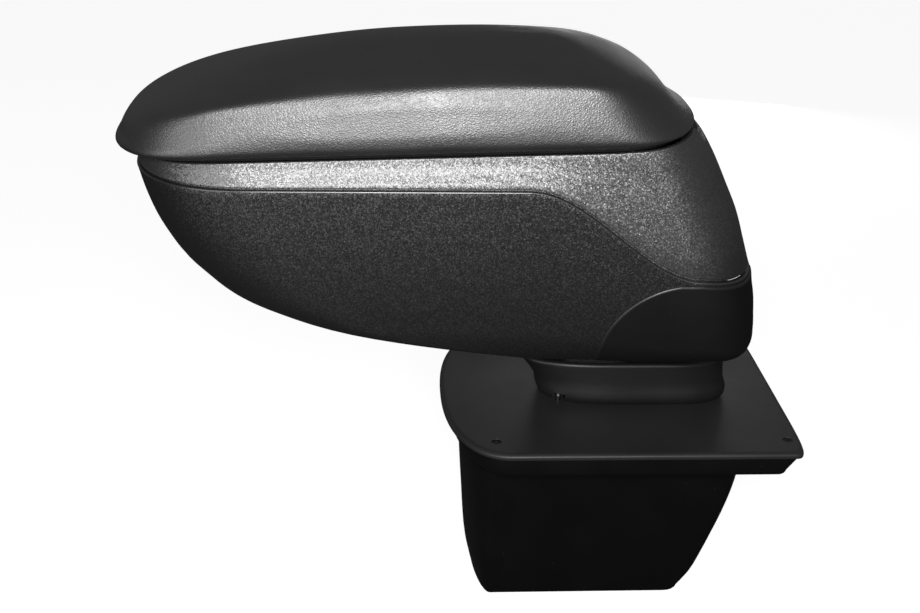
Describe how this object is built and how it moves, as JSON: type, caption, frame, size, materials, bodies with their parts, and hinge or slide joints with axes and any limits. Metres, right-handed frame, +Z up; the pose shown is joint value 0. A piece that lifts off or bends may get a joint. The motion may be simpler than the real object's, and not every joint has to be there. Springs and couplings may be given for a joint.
{
  "type": "car centre armrest",
  "caption": "Fold-up centre armrest: padded lid over a storage arm of textured shells, on a foot, console plate and tapered insert tub.",
  "frame": {"origin": "centre of the insert tub's flat base", "axes": "+Z up, -X towards the nose of the arm, +X towards its hinge, -Y towards the side seen in the picture"},
  "size_m": [0.3765, 0.157, 0.3305],
  "materials": {
    "leatherette": "fine pebble grain, low sheen",
    "foam": "open cells, matt",
    "textured_plastic": "coarse spark-eroded texture that glitters",
    "smooth_plastic": "smooth satin",
    "nylon": "natural, slightly waxy",
    "rubber": "matt",
    "steel": "zinc plated"
  },
  "bodies": {
    "base": {"tub": "smooth_plastic", "plate": "smooth_plastic", "plate_screw_front_near": "steel", "plate_screw_front_far": "steel", "plate_screw_rear_near": "steel", "plate_screw_rear_far": "steel", "foot": "smooth_plastic", "foot_screw_front_near": "steel", "foot_screw_front_far": "steel", "foot_screw_rear_near": "steel", "foot_screw_rear_far": "steel", "post_bush": "nylon", "rest_buffer": "rubber", "foot_stud_near": "steel", "foot_stud_far": "steel"},
    "arm": {"lower_shell": "textured_plastic", "upper_shell": "textured_plastic", "cheek_near": "smooth_plastic", "cheek_far": "smooth_plastic", "axle": "steel", "axle_bush_near": "nylon", "axle_bush_far": "nylon", "axle_washer_near": "nylon", "axle_washer_far": "nylon", "axle_clip_near": "steel", "axle_clip_far": "steel", "hinge_cover": "smooth_plastic", "shelf_mat": "rubber", "shell_screw_nose_near": "steel", "shell_screw_nose_far": "steel", "shell_screw_front_near": "steel", "shell_screw_front_far": "steel", "shell_screw_middle_near": "steel", "shell_screw_middle_far": "steel", "shell_screw_rear_near": "steel", "shell_screw_rear_far": "steel", "lid_bracket": "smooth_plastic", "lid_pin": "steel", "catch_magnet": "steel"},
    "lid": {"lid_base": "smooth_plastic", "lid_leaf": "steel", "catch_plate": "steel", "pad_cover": "leatherette", "pad_foam": "foam"}
  },
  "joints": [
    {"name": "arm_tilt", "type": "hinge", "parent": "base", "child": "arm", "pos_m": [0.048, 0, 0.1717], "axis": [0, 1, 0], "range_deg": [0, 75]},
    {"name": "lid_open", "type": "hinge", "parent": "arm", "child": "lid", "pos_m": [0.04655, 0, 0.28381], "axis": [0, 1, 0], "range_deg": [0, 92]}
  ]
}
